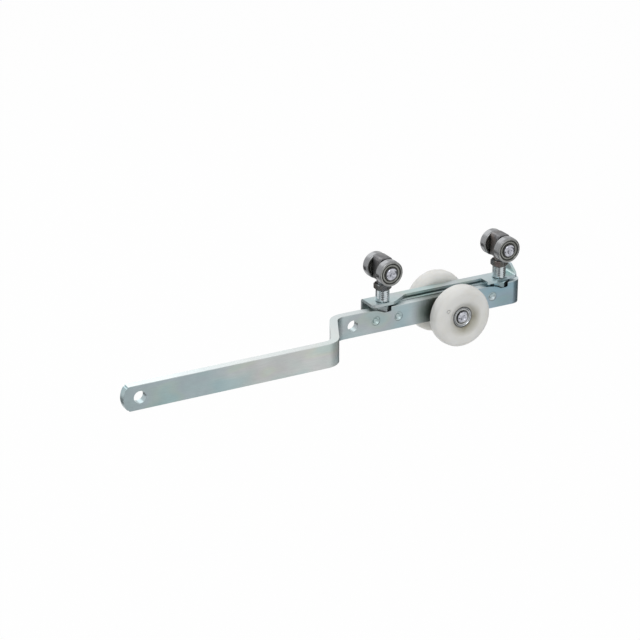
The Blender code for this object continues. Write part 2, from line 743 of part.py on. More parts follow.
def trolley(side, x):
    """One trolley: everything that swivels on its stud, and the sleeve that it swivels in."""
    swivel = pivot(f"{side}_swivel_pivot", (x, 0, 0))
    trolley_block(side, swivel)
    trolley_axle(side, swivel)
    bore = TROLLEY_AXLE_RADIUS + FIT_GAP
    for place_name, sign in (("front", -1), ("rear", 1)):
        centre = (0, sign * ROLLER_OFFSET, ROLLER_RADIUS)
        roller = pivot(f"{side}_{place_name}_roller_pivot", centre, swivel)
        cage = pivot(f"{side}_{place_name}_cage_pivot", centre, swivel)
        name = f"{side}_{place_name}_roller"
        sizes = (ROLLER_RADIUS, bore, ROLLER_WIDTH, ROLLER_RACE)
        ball_bearing(name, (roller, swivel, cage), (0, 0, 0), *sizes)
        bpy.data.objects[name + "_inner_ring"].location = centre

    foot_top = PLATE_UNDER - FIT_GAP
    stud_bottom = foot_top - FOOT_NUT_HEIGHT
    chamfered = STUD_RADIUS - STUD_CHAMFER
    turned(
        f"{side}_swivel_stud",
        [
            (0, STUD_TOP),
            (chamfered, STUD_TOP),
            (STUD_RADIUS, STUD_TOP - STUD_CHAMFER),
            (STUD_RADIUS, stud_bottom + STUD_CHAMFER),
            (chamfered, stud_bottom),
            (0, stud_bottom),
        ],
        BRIGHT_STEEL,
        swivel,
        (0, 0, 0),
        ring=False,
    )
    hex_nut(f"{side}_lock_nut", LOCK_NUT_FLATS, LOCK_NUT_HEIGHT, LOCK_NUT_TOP, DARK_STEEL, swivel)
    hex_nut(f"{side}_foot_nut", FOOT_NUT_FLATS, FOOT_NUT_HEIGHT, foot_top, ZINC, swivel)

    sleeve_top = LOCK_NUT_TOP - LOCK_NUT_HEIGHT - FIT_GAP
    sleeve_bottom = PLATE_TOP + FIT_GAP
    turned(
        f"{side}_swivel_sleeve",
        tube_profile(SLEEVE_RADIUS, STUD_RADIUS + RUNNING_GAP, sleeve_top - sleeve_bottom),
        BRIGHT_STEEL,
        None,
        (x, 0, (sleeve_top + sleeve_bottom) / 2),
    )


clear_scene()
PARTS = make_collection("sliding_door_roller")
CUTTERS = make_collection("cutters")
ZINC = make_material("zinc_plated_steel", (0.62, 0.65, 0.66), 0.35, 1.0)
BRIGHT_STEEL = make_material("bright_zinc", (0.74, 0.76, 0.78), 0.25, 1.0)
RIVET_STEEL = make_material("rivet_steel", (0.60, 0.63, 0.64), 0.35, 1.0)
DARK_STEEL = make_material("dark_steel", (0.24, 0.24, 0.25), 0.35, 1.0)
BEARING_STEEL = make_material("bearing_steel", (0.34, 0.34, 0.36), 0.28, 1.0)
BALL_STEEL = make_material("ball_steel", (0.70, 0.70, 0.72), 0.15, 1.0)
NYLON = make_material("nylon", (0.80, 0.80, 0.77), 0.45, 0.0)

arm_bar()
carriage_bracket()
rivets()
wheel_axle()
for wheel_side, wheel_plane in WHEEL_PLANES:
    guide_wheel(wheel_side, wheel_plane)
trolley("left", -PIN_PITCH / 2)
trolley("right", PIN_PITCH / 2)
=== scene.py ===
import math

import bmesh
import bpy
from mathutils import Matrix, Vector


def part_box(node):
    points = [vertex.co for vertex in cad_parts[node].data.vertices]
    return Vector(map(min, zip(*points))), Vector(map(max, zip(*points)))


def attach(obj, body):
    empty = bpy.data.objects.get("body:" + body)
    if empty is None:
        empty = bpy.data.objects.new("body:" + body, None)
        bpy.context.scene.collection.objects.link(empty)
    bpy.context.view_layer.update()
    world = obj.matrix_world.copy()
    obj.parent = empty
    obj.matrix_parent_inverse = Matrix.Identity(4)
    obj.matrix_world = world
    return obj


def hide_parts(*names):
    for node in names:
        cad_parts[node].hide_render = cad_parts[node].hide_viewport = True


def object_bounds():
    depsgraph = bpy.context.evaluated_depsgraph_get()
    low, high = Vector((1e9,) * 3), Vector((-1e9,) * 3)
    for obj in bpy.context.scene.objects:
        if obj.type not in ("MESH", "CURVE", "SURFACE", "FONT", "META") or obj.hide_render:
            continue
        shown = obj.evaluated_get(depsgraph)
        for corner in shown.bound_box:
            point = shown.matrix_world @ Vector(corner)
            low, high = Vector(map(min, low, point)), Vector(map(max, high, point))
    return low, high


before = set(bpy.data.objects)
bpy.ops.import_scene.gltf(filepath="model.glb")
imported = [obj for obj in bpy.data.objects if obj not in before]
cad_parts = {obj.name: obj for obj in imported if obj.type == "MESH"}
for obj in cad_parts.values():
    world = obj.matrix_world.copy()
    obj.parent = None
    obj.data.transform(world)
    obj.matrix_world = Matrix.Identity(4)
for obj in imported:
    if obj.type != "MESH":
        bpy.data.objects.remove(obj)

cad_low, cad_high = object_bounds()


# Arm. One length of flat bar, punched while flat and then bent: the long run to the door, a jog,
# the run that carries the trolleys and a short return that closes the carriage. Zinc plated.
def node_size(node):
    """A node's middle and half of its size, each as x, y and z."""
    ends = list(zip(*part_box(node)))
    return [(low + high) / 2 for low, high in ends], [(high - low) / 2 for low, high in ends]


bar_low, bar_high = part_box("arm_bar")
bar_thickness = 0.006
bar_middle_z = (bar_low.z + bar_high.z) / 2
jog_radius = 0.0125                     # of the bar's middle line
return_radius = 0.0065
run_y = -0.0045                         # middle line of the run that carries the trolleys
long_run_y = bar_low.y + bar_thickness / 2
return_x = bar_high.x - bar_thickness / 2
jog_corners = ((-0.1192, long_run_y), (-0.0985, run_y))
pin_places = (("left", -0.053), ("right", 0.053))
(wheel_x, _, wheel_z), (wheel_radius, wheel_half, _) = node_size("front_nylon_wheel")
rivet_places = (-0.0628, -0.0429, 0.0426)
rivet_z = -0.0282
tip_hole_x, tip_hole = -0.2777, 0.00475
middle_hole_x, middle_hole = -0.083, 0.0045
dished_rivet_hole = 0.0037


def arc_points(centre, radius, start, end, steps):
    """Points round an arc, angles in degrees."""
    points = []
    for step in range(steps + 1):
        angle = math.radians(start + (end - start) * step / steps)
        points.append((centre[0] + radius * math.cos(angle), centre[1] + radius * math.sin(angle)))
    return points


def rounded(corners, closed=True, step=9.0):
    """A line through corners (x, y, radius), each turned by an arc of its own radius."""
    points = []
    last = len(corners) - 1
    for index, (x, y, radius) in enumerate(corners):
        if radius == 0 or (not closed and index in (0, last)):
            points.append((x, y))
            continue
        corner = Vector((x, y))
        back = (Vector(corners[index - 1][:2]) - corner).normalized()
        on = (Vector(corners[(index + 1) % (last + 1)][:2]) - corner).normalized()
        half = back.angle(on) / 2
        centre = corner + (back + on).normalized() * radius / math.sin(half)
        start = corner + back * radius / math.tan(half) - centre
        end = corner + on * radius / math.tan(half) - centre
        first = math.degrees(math.atan2(start.y, start.x))
        turn = math.degrees(math.atan2(end.y, end.x)) - first
        turn = (turn + 180) % 360 - 180
        points += arc_points(centre, radius, first, first + turn, max(2, round(abs(turn) / step)))
    return points


def in_scene(name, data):
    """A new object, linked to the scene."""
    made = bpy.data.objects.new(name, data)
    bpy.context.scene.collection.objects.link(made)
    return made


def as_mesh(shape, mesh):
    """The mesh with the edited shape written to it. The shape is used up."""
    shape.to_mesh(mesh)
    shape.free()
    return mesh


def applied(obj):
    """The object's mesh with its modifiers applied. The object is used up."""
    bpy.context.view_layer.update()
    mesh = bpy.data.meshes.new_from_object(obj.evaluated_get(bpy.context.evaluated_depsgraph_get()))
    bpy.data.objects.remove(obj)
    return mesh


def punched(outline, holes, thickness, edge):
    """A flat blank in XY with round holes (x, y, radius), its sharp edges taken off."""
    curve = bpy.data.curves.new("outline", "CURVE")
    curve.dimensions = "2D"
    curve.fill_mode = "BOTH"
    curve.extrude = thickness / 2
    rims = [arc_points((x, y), radius, 0, 352.5, 47) for x, y, radius in holes]
    for line in [outline] + rims:
        spline = curve.splines.new("POLY")
        spline.points.add(len(line) - 1)
        for point, (x, y) in zip(spline.points, line):
            point.co = (x, y, 0, 1)
        spline.use_cyclic_u = True
    mesh = applied(in_scene("outline", curve))
    shape = bmesh.new()
    shape.from_mesh(mesh)
    bmesh.ops.remove_doubles(shape, verts=shape.verts, dist=0.000002)
    bmesh.ops.dissolve_limit(shape, angle_limit=0.002, verts=shape.verts, edges=shape.edges)
    bmesh.ops.recalc_face_normals(shape, faces=shape.faces)
    blank = in_scene("blank", as_mesh(shape, mesh))
    bevel = blank.modifiers.new("edges", "BEVEL")
    bevel.width = edge
    bevel.segments = 3
    bevel.limit_method = "ANGLE"
    bevel.angle_limit = math.radians(50)
    return applied(blank)


def formed(mesh, cuts, axis, place):
    """Cut a blank across at every place in cuts along an axis, then move each point by place()."""
    shape = bmesh.new()
    shape.from_mesh(mesh)
    along = Vector()
    along[axis] = 1
    for cut in cuts:
        geometry = [*shape.verts, *shape.edges, *shape.faces]
        bmesh.ops.bisect_plane(shape, geom=geometry, dist=0.000001, plane_co=along * cut, plane_no=along)
    for vert in shape.verts:
        vert.co = place(vert.co.copy())
    bmesh.ops.recalc_face_normals(shape, faces=shape.faces)
    return as_mesh(shape, mesh)


def finished(name, mesh, material, body, nodes, crisp=35):
    """A finished piece in its place, with smooth faces and crisp edges."""
    mesh.shade_smooth()
    mesh.set_sharp_from_angle(angle=math.radians(crisp))
    mesh.materials.clear()
    mesh.materials.append(material)
    piece = in_scene(name, mesh)
    shading = piece.modifiers.new("even_shading", "WEIGHTED_NORMAL")
    shading.keep_sharp = True
    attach(piece, body)
    if nodes:
        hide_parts(*nodes)


jog_run = Vector(jog_corners[1]) - Vector(jog_corners[0])
jog_angle = math.atan2(jog_run.y, jog_run.x)
jog_tangent = jog_radius * math.tan(jog_angle / 2)
arm_legs = (                            # straight length, then the bend after it and its radius
    (jog_corners[0][0] - bar_low.x - jog_tangent, jog_angle, jog_radius),
    (jog_run.length - 2 * jog_tangent, -jog_angle, jog_radius),
    (return_x - return_radius - jog_corners[1][0] - jog_tangent, math.radians(90), return_radius),
    (bar_high.y - run_y - return_radius, 0, 0),
)
arm_length = sum(straight + abs(turn) * radius for straight, turn, radius in arm_legs)


def arm_place(point):
    """Where a point of the flat bar lands once the bar is bent."""
    along, up, off = point.x, point.y, point.z
    here = Vector((bar_low.x, long_run_y))
    heading = 0.0
    for straight, turn, radius in arm_legs:
        forward = Vector((math.cos(heading), math.sin(heading)))
        step = min(along, straight)
        here = here + forward * step
        along -= step
        if along <= 0 or turn == 0:
            break
        angle = min(along / radius, abs(turn)) * math.copysign(1, turn)
        side = math.copysign(radius, turn)
        centre = here + side * Vector((-math.sin(heading), math.cos(heading)))
        heading += angle
        here = centre - side * Vector((-math.sin(heading), math.cos(heading)))
        along -= abs(angle) * radius
        if along <= 0:
            break
    here = here + off * Vector((-math.sin(heading), math.cos(heading)))
    return Vector((here.x, here.y, bar_middle_z + up))


def flat_place(x):
    """How far along the flat bar a place on the trolley run is."""
    before = sum(straight + abs(turn) * radius for straight, turn, radius in arm_legs[:2])
    return before + x - jog_corners[1][0] - jog_tangent


def turned(profile, centre=(0, 0, 0), axis="Z", sides=64, ring=True):
    """A profile of (radius, height) turned about its own axis, then laid along Y or left upright."""
    shape = bmesh.new()
    verts = [shape.verts.new((radius, 0, height)) for radius, height in profile]
    edges = [shape.edges.new(pair) for pair in zip(verts, verts[1:])]
    if ring:
        edges.append(shape.edges.new((verts[-1], verts[0])))
    bmesh.ops.spin(
        shape, geom=verts + edges, cent=(0, 0, 0), axis=(0, 0, 1), angle=math.tau, steps=sides, use_merge=True
    )
    bmesh.ops.remove_doubles(shape, verts=shape.verts, dist=0.0000005)
    bmesh.ops.recalc_face_normals(shape, faces=shape.faces)
    turn = Matrix.Rotation(math.radians(-90), 4, "X") if axis == "Y" else Matrix.Identity(4)
    bmesh.ops.transform(shape, matrix=Matrix.Translation(centre) @ turn, verts=shape.verts)
    return as_mesh(shape, bpy.data.meshes.new("turned"))


def united(mesh, others):
    """A mesh with others added to it or cut from it, as one solid."""
    base = in_scene("base", mesh)
    tools = []
    for operation, other in others:
        tool = in_scene("tool", other)
        tools.append(tool)
        modifier = base.modifiers.new(operation.lower(), "BOOLEAN")
        modifier.operation = operation
        modifier.solver = "EXACT"
        modifier.object = tool
    result = applied(base)
    for tool in tools:
        bpy.data.objects.remove(tool)
    return result


def arm_mesh():
    half = (bar_high.z - bar_low.z) / 2
    tip_radius = 0.014
    spread = math.asin(half / tip_radius)
    tip_corner = tip_radius * (1 - math.cos(spread))
    slot_half = 0.0045
    slot_top = wheel_z - bar_middle_z + slot_half
    axle_at = flat_place(wheel_x)
    corners = [
        (tip_corner, -half, 0.0012),
        (axle_at - slot_half, -half, 0.0004),
        (axle_at - slot_half, slot_top, slot_half * 0.99),
        (axle_at + slot_half, slot_top, slot_half * 0.99),
        (axle_at + slot_half, -half, 0.0004),
        (arm_length, -half, 0.0004),
        (arm_length, half, 0.0004),
    ]
    for side, x in reversed(pin_places):
        at = flat_place(x)
        corners += [
            (at - 0.0028, half, 0.0002),
            (at - 0.0030, half - 0.0032, 0.0004),
            (at - 0.0063, half - 0.0022, 0.004),
            (at - 0.0107, half - 0.0009, 0.008),
            (at - 0.0205, half, 0.02),
        ]
    corners.append((tip_corner, half, 0.0012))
    turn = math.degrees(spread)
    tip = arc_points((tip_radius, 0), tip_radius, 180 - turn, 180 + turn, 24)[2:-2]
    holes = [(tip_hole_x - bar_low.x, 0, tip_hole), (flat_place(middle_hole_x), 0, middle_hole)]
    holes += [(flat_place(x), rivet_z - bar_middle_z, dished_rivet_hole) for x in rivet_places]
    cuts = []
    start = 0.0
    for straight, turn, radius in arm_legs[:3]:
        start += straight
        steps = round(math.degrees(abs(turn)) / 5)
        cuts += [start + abs(turn) * radius * step / steps for step in range(steps + 1)]
        start += abs(turn) * radius
    blank = punched(rounded(corners) + tip, holes, bar_thickness, 0.0009)
    bent = formed(blank, cuts, 0, arm_place)
    floor, wall = -0.0227, 0.0084
    pocket = rounded([(0, 0, 0), (wall, 0, 0), (wall, floor, 0.0009), (0, floor, 0)], closed=False, step=15)
    places = [(x, 0, 0) for side, x in pin_places]
    return united(bent, [("DIFFERENCE", turned(pocket, place, "Z", 96, ring=False)) for place in places])


def add_node(tree, kind, inputs=None, **settings):
    """A shader node with its settings, and its inputs as values or as links."""
    made = tree.nodes.new(kind)
    for key, value in settings.items():
        setattr(made, key, value)
    for key, value in (inputs or {}).items():
        if isinstance(value, bpy.types.NodeSocket):
            tree.links.new(value, made.inputs[key])
        else:
            made.inputs[key].default_value = value
    return made


def new_finish(name):
    """An empty material: its tree, its Principled shader and the place on the object."""
    made = bpy.data.materials.new(name)
    made.use_nodes = True
    tree = made.node_tree
    place = add_node(tree, "ShaderNodeTexCoord").outputs["Object"]
    return made, tree, tree.nodes["Principled BSDF"], place


def stretched(tree, place, scale):
    return add_node(tree, "ShaderNodeMapping", {"Vector": place, "Scale": scale}).outputs["Vector"]


def mottle(tree, place, scale, detail=3.0, roughness=0.5):
    """Soft random variation from 0 to 1."""
    inputs = {"Vector": place, "Scale": scale, "Detail": detail, "Roughness": roughness}
    return add_node(tree, "ShaderNodeTexNoise", inputs).outputs["Fac"]


def colour_ramp(tree, factor, stops):
    made = add_node(tree, "ShaderNodeValToRGB", {"Fac": factor})
    ramp = made.color_ramp
    while len(ramp.elements) < len(stops):
        ramp.elements.new(0.5)
    for element, (position, colour) in zip(ramp.elements, stops):
        element.position = position
        element.color = (*colour, 1.0)
    return made.outputs["Color"]


def between(tree, value, low, high, from_low=0.3, from_high=0.7):
    inputs = {"Value": value, "From Min": from_low, "From Max": from_high, "To Min": low, "To Max": high}
    return add_node(tree, "ShaderNodeMapRange", inputs).outputs["Result"]


def mixed(tree, factor, first, second, blend="MIX"):
    values = {0: factor, 6: first, 7: second}
    return add_node(tree, "ShaderNodeMix", values, data_type="RGBA", blend_type=blend).outputs[2]


def bumped(tree, shader, height, strength, distance):
    made = add_node(tree, "ShaderNodeBump", {"Height": height, "Strength": strength, "Distance": distance})
    tree.links.new(made.outputs["Normal"], shader.inputs["Normal"])


def metal(tree, shader, colour, rough, grain, depth):
    """Bare metal of this colour and roughness. depth is its grain's strength and height."""
    tree.links.new(colour, shader.inputs["Base Color"])
    shader.inputs["Metallic"].default_value = 1.0
    tree.links.new(rough, shader.inputs["Roughness"])
    bumped(tree, shader, grain, *depth)


def measured(tree, operation, place, other):
    """One number from a point and a direction or another point."""
    return add_node(tree, "ShaderNodeVectorMath", {0: place, 1: other}, operation=operation).outputs["Value"]


def combined(tree, first, second, operation="MULTIPLY"):
    return add_node(tree, "ShaderNodeMath", {0: first, 1: second}, operation=operation).outputs[0]


def near(tree, place, centre, core, rim):
    """One inside the core radius round a point, falling to nothing at the rim radius."""
    return between(tree, measured(tree, "DISTANCE", place, centre), 1.0, 0.0, core, rim)


def zinc_plate(name, shades):
    """Blue-white zinc plate on rolled steel: soft patches, a faint rainbow tint and rolling lines.

    shades are wide changes of tone along the piece, mostly painted shade and light: from x, to x, colour
    multiplied in.
    """
    made, tree, shader, place = new_finish(name)
    patches = mottle(tree, place, 26.0, 4.0, 0.55)
    greys = ((0.30, (0.49, 0.515, 0.505)), (0.5, (0.55, 0.575, 0.56)), (0.72, (0.62, 0.64, 0.625)))
    base = colour_ramp(tree, patches, greys)
    tint_places = mottle(tree, stretched(tree, place, (1.0, 1.0, 1.8)), 30.0, 1.5, 0.4)
    rainbow = (
        (0.34, (0.84, 0.97, 1.0)),
        (0.45, (0.97, 1.0, 1.0)),
        (0.54, (1.0, 0.965, 0.99)),
        (0.61, (0.99, 1.0, 0.93)),
        (0.70, (0.88, 1.0, 0.98)),
    )
    tint = colour_ramp(tree, tint_places, rainbow)
    coat = mixed(tree, 0.9, base, tint, "MULTIPLY")
    # Wide changes of tone along the piece, mostly painted shade and light.
    for start, end, colour in shades:
        x = measured(tree, "DOT_PRODUCT", place, (1.0, 0.0, 0.0))
        amount = between(tree, x, 0.0, 1.0, start, end)
        coat = mixed(tree, amount, coat, (*colour, 1.0), "MULTIPLY")
    lines = mottle(tree, stretched(tree, place, (4.0, 90.0, 90.0)), 30.0, 5.0, 0.6)
    lined = mixed(tree, between(tree, lines, 0.0, 0.22), coat, (0.24, 0.27, 0.28, 1.0))
    specks = mottle(tree, place, 900.0, 2.0, 0.6)
    speckled = mixed(tree, between(tree, specks, 0.0, 0.5, 0.66, 0.8), lined, (0.27, 0.30, 0.31, 1.0))
    surface = mixed(tree, 0.35, lines, specks)
    metal(tree, shader, speckled, between(tree, patches, 0.40, 0.28), surface, (0.25, 0.00008))
    return made, tree, shader, place, speckled


def bar_zinc():
    """The bar's plate: darker at the tip; painted shade bluer at the return, painted shadow by the wheel,
    painted highlight on top.
    """
    # Darker toward the tip; then painted shade, darker and bluer past the jog and more so toward the return.
    shades = (
        (-0.190, -0.225, (0.74, 0.86, 0.91)),
        (-0.120, -0.100, (0.80, 0.86, 0.90)),
        (-0.060, 0.010, (0.88, 0.95, 0.99)),
        (0.010, 0.045, (0.82, 0.93, 1.0)),
    )
    made, tree, shader, place, coat = zinc_plate("bar_zinc", shades)
    # Painted highlight: the top face and its upper edge are lighter.
    rise = measured(tree, "DOT_PRODUCT", place, (0.0, 0.0, 1.0))
    painted_top_highlight = between(tree, rise, 0.0, 0.62, bar_high.z - 0.0006, bar_high.z - 0.0002)
    coat = mixed(tree, painted_top_highlight, coat, (0.70, 0.74, 0.74, 1.0))
    # Painted shadow of the front wheel on the bar's face beside it, broken into streaks.
    painted_wheel_shadow = near(tree, place, (-0.006, run_y - bar_thickness / 2, bar_middle_z), 0.011, 0.026)
    streaks = between(tree, mottle(tree, stretched(tree, place, (60.0, 4.0, 4.0)), 30.0, 3.0), 0.75, 1.0)
    wheel_shadowed_coat = mixed(tree, combined(tree, painted_wheel_shadow, streaks), coat, (0.125, 0.145, 0.125, 1.0))
    tree.links.new(wheel_shadowed_coat, shader.inputs["Base Color"])
    return made


bar_finish = bar_zinc()
finished("arm_flat_bar", arm_mesh(), bar_finish, "carriage", ["arm_bar"])


# Carriage plate. Sheet steel folded along its back edge into a top plate and a back wall, with an
# ear turned up at the end. The swivel sleeves stand on it and the wheel axle passes its wall.
sheet = 0.0023
plate_top = -0.0157
plate_middle_z = plate_top - sheet / 2
back_face_y = 0.0119
wall_bottom = bar_low.z + 0.001
axle_ear_bottom = wall_bottom - 0.004
plate_left, plate_right = -0.0651, 0.0687
ear_top = -0.0092
axle_ear_deep, axle_ear_wide = 0.0095, 0.0145
fold_radius = 0.003 - sheet / 2         # of the sheet's middle
fold_start = back_face_y - 0.003
fold_end = fold_start + fold_radius * math.pi / 2
ear_radius = 0.0015 + sheet / 2
ear_start = plate_right - 0.0015 - sheet
ear_end = ear_start + ear_radius * math.pi / 2
ear_tip = ear_end + ear_top - (plate_middle_z + ear_radius)
stud_hole = 0.0043
axle_hole = 0.0043


def wall_flat(z):
    """How far across the flat sheet a height on the back wall is."""
    return fold_end + (plate_middle_z - fold_radius) - z


def plate_place(point):
    """Fold the back wall down and the end ear up."""
    x, y, off = point
    z = plate_middle_z + off
    if x > ear_start:
        angle = min((x - ear_start) / ear_radius, math.pi / 2)
        beyond = max(0.0, x - ear_end)
        reach = ear_radius - off
        x = ear_start + reach * math.sin(angle)
        z = plate_middle_z + ear_radius - reach * math.cos(angle) + beyond
    elif y > fold_start:
        angle = min((y - fold_start) / fold_radius, math.pi / 2)
        beyond = max(0.0, y - fold_end)
        reach = fold_radius + off
        y = fold_start + reach * math.sin(angle)
        z = plate_middle_z - fold_radius + reach * math.cos(angle) - beyond
    return Vector((x, y, z))


def axle_ear(edge, tip):
    """The ear round the axle's hole: its corners from left to right, from an edge to its tip."""
    return [
        (wheel_x - axle_ear_wide, edge, 0.002),
        (wheel_x - axle_ear_deep, tip, 0.002),
        (wheel_x + axle_ear_deep, tip, 0.002),
        (wheel_x + axle_ear_wide, edge, 0.002),
    ]


def plate_mesh():
    bottom = wall_flat(wall_bottom)
    lobe_front, waist_front, ear_front = -0.0067, 0.0029, -0.004
    lobe_left, wall_right = 0.0385, 0.0643
    relief_x, relief_y = ear_start + 0.0003, fold_start - 0.0004
    corners = [
        (plate_left, lobe_front, 0.003),
        (-0.046, lobe_front, 0.004),
        (-0.031, waist_front, 0.006),
        (lobe_left, waist_front, 0.0005),
        (lobe_left, lobe_front, 0.0006),
        (0.0475, lobe_front, 0.0008),
        (0.058, ear_front, 0.0008),
        (ear_start + 0.0015, ear_front, 0.0008),
        (ear_tip, 0.0058, 0.001),
        (ear_tip, back_face_y, 0.001),
        (relief_x, back_face_y, 0.0003),
        (relief_x, relief_y, 0.0002),
        (wall_right, relief_y, 0.0002),
        (wall_right, bottom, 0.0008),
        *axle_ear(bottom, wall_flat(axle_ear_bottom))[::-1],
        (plate_left, bottom, 0.0008),
    ]
    holes = [(x, 0, stud_hole) for side, x in pin_places]
    holes.append((wheel_x, wall_flat(wheel_z), axle_hole))
    blank = punched(rounded(corners), holes, sheet, 0.0003)
    shares = [step / 12 for step in range(13)]
    fold_cuts = [fold_start + (fold_end - fold_start) * share for share in shares]
    ear_cuts = [ear_start + (ear_end - ear_start) * share for share in shares]
    ready = formed(blank, ear_cuts, 0, lambda point: point)
    return formed(ready, fold_cuts, 1, plate_place)


# Painted shade and light on the sheet: a little darker and bluer past the left lug, lighter and bluer toward
# the ear.
sheet_painted_shades = ((-0.09, -0.06, (0.88, 0.95, 0.98)), (0.02, 0.06, (0.96, 1.04, 1.08)))
zinc = zinc_plate("sheet_zinc", sheet_painted_shades)[0]
finished("carriage_plate", plate_mesh(), zinc, "carriage", ["carriage_bracket"])


# Strap. A flat strip under the plate that the arm is riveted to, cut away round the two foot nuts.
# Its two posts are welded to the plate.
strap_y = -0.00005
nut_room_z = -0.0235
post_top = plate_top - sheet - 0.0001
strap_rivet_hole = 0.0035


def upright(mesh, y):
    """Stand a blank up in XZ, its thickness shared either side of y."""
    mesh.transform(Matrix.Translation((0, y, 0)) @ Matrix.Rotation(math.radians(90), 4, "X"))
    return mesh


def strap_mesh():
    left, right = -0.069, 0.0624
    post, right_post, left_post = 0.0448, 0.0395, -0.038
    below_plate = post_top - 0.0002
    corners = [
        (left, wall_bottom, 0.0008),
        *axle_ear(wall_bottom, axle_ear_bottom),
        (right, wall_bottom, 0.0008),
        (right, nut_room_z, 0.0008),
        (post, nut_room_z, 0.0006),
        (post, post_top, 0.0002),
        (right_post, post_top, 0.0001),
        (right_post, below_plate, 0.0001),
        (left_post, below_plate, 0.0001),
        (left_post, post_top, 0.0001),
        (-post, post_top, 0.0006),
        (-post, nut_room_z, 0.0006),
        (left, nut_room_z, 0.0008),
    ]
    holes = [(wheel_x, wheel_z, axle_hole)] + [(x, rivet_z, strap_rivet_hole) for x in rivet_places]
    return upright(punched(rounded(corners), holes, sheet, 0.0003), strap_y)


finished("carriage_strap", strap_mesh(), zinc, "carriage", ["carriage_bracket"])


# Rivets. Steel, driven through the bar and the strap from behind; each head is worked down nearly
# flush with the bar's face, with a shallow ring left round it.
def rivet_mesh():
    shank = 0.00325
    front = run_y - bar_thickness / 2
    back = strap_y + sheet / 2
    profile = rounded(
        [
            (0, back + 0.0016, 0),
            (0.003, back + 0.0015, 0.0014),
            (0.0046, back + 0.0002, 0.0002),
            (0.0045, back, 0),
            (shank, back, 0),
            (shank, front + 0.0014, 0),
            (shank + 0.0003, front + 0.0001, 0.0001),
            (shank - 0.0003, front + 0.0001, 0.0002),
            (0.0014, front + 0.0013, 0.0006),
            (0, front + 0.0012, 0),
        ],
        closed=False,
    )
    return turned(profile, axis="Y", sides=40, ring=False)


def node_recipe(name, sockets):
    """A geometry nodes tree with named inputs, as (name, kind): the tree and its inputs."""
    tree = bpy.data.node_groups.new(name, "GeometryNodeTree")
    for label, kind in sockets:
        tree.interface.new_socket(label, in_out="INPUT", socket_type=f"NodeSocket{kind}")
    tree.interface.new_socket("Pieces", in_out="OUTPUT", socket_type="NodeSocketGeometry")
    return tree, tree.nodes.new("NodeGroupInput").outputs


def grown(tree, given, pieces, start, values):
    """End a recipe in real copies with their finish on, and grow a plain mesh from a start."""
    real = add_node(tree, "GeometryNodeRealizeInstances", {"Geometry": pieces})
    inputs = {"Geometry": real.outputs["Geometry"], "Material": given["Finish"]}
    coated = add_node(tree, "GeometryNodeSetMaterial", inputs)
    result = tree.nodes.new("NodeGroupOutput")
    tree.links.new(coated.outputs["Geometry"], result.inputs["Pieces"])
    holder = in_scene("holder", start)
    nodes = holder.modifiers.new(tree.name, "NODES")
    nodes.node_group = tree
    identifiers = {item.name: item.identifier for item in tree.interface.items_tree}
    for label, value in values.items():
        nodes[identifiers[label]] = value
    return applied(holder)


def on_points(tree, points, piece):
    inputs = {"Points": points, "Instance": piece}
    return add_node(tree, "GeometryNodeInstanceOnPoints", inputs).outputs["Instances"]


def repeated(points, template):
    """A copy of the template at each point, as one plain mesh."""
    sockets = (("Places", "Geometry"), ("Template", "Object"), ("Finish", "Material"))
    tree, given = node_recipe("repeated", sockets)
    info = add_node(tree, "GeometryNodeObjectInfo", {"Object": given["Template"]})
    copies = on_points(tree, given["Places"], info.outputs["Geometry"])
    source = in_scene("template", template)
    places = bpy.data.meshes.new("places")
    places.from_pydata(points, [], [])
    mesh = grown(tree, given, copies, places, {"Template": source, "Finish": zinc})
    bpy.data.objects.remove(source)
    return mesh


rivets = repeated([(x, 0, rivet_z) for x in rivet_places], rivet_mesh())
rivet_nodes = ["strap_rivet_1", "strap_rivet_2", "strap_rivet_3"]
finished("strap_rivets", rivets, zinc, "carriage", rivet_nodes)


# Wheel axle. Bright plated steel, its ends turned down and staked over against the inner rings.
# A spacer tube keeps the strap and the back wall apart; a washer sits inside each wheel.
axle_low, axle_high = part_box("wheel_axle")
axle_radius = 0.004
wheel_planes = {side: node_size(f"{side}_nylon_wheel")[0][1] for side in ("front", "rear")}
wheel_bearing_radius, wheel_bearing_half, _ = node_size("front_wheel_bearing_outer_ring")[1]


def bright_zinc(name, dark, light, tool_marks, rough):
    """Bright plate on turned steel, with faint tool marks round it."""
    made, tree, shader, place = new_finish(name)
    cloud = mottle(tree, place, 330.0, 4.0, 0.6)
    base = colour_ramp(tree, cloud, ((0.34, dark), (0.66, light)))
    marks = mottle(tree, stretched(tree, place, tool_marks), 900.0)
    metal(tree, shader, base, between(tree, cloud, rough + 0.08, rough), marks, (0.15, 0.00006))
    return made


pin_end = bright_zinc("peened_steel", (0.32, 0.33, 0.37), (0.60, 0.61, 0.66), (3.0, 3.0, 3.0), 0.16)


def flipped(corners):
    """The corners of half a profile, last first, on the other side of its middle."""
    return [(radius, -height, *corner) for radius, height, *corner in corners[::-1]]


def staked_end(face, tip):
    """The end of the axle from the ring's face outwards, with a ring staked into it."""
    stake = 0.0046
    return [
        (axle_radius, face, 0),
        (stake, face, 0.0002),
        (stake, face + 0.0005, 0.0004),
        (0.0039, tip - 0.0006, 0.0006),
        (0.0031, tip, 0.0005),
        (0.0022, tip - 0.0001, 0.0004),
        (0.0014, tip - 0.0009, 0.0006),
        (0, tip - 0.0009, 0),
    ]


def wheel_axle_mesh():
    front_face = -(wheel_planes["front"] - wheel_bearing_half - 0.0003)
    rear_face = wheel_planes["rear"] + wheel_bearing_half + 0.0003
    rear = staked_end(rear_face, axle_high.y)[::-1]
    front = staked_end(front_face, -axle_low.y)[::-1]
    profile = rounded(rear + flipped(front), closed=False)
    return turned(profile, (wheel_x, 0, wheel_z), "Y", 56, ring=False)


def soft_tube(outer, inner, low, high, edge):
    """A ring's profile with rounded edges, between two heights."""
    corners = [(outer, high, edge), (outer, low, edge), (inner, low, edge / 2), (inner, high, edge / 2)]
    return rounded(corners, step=15)


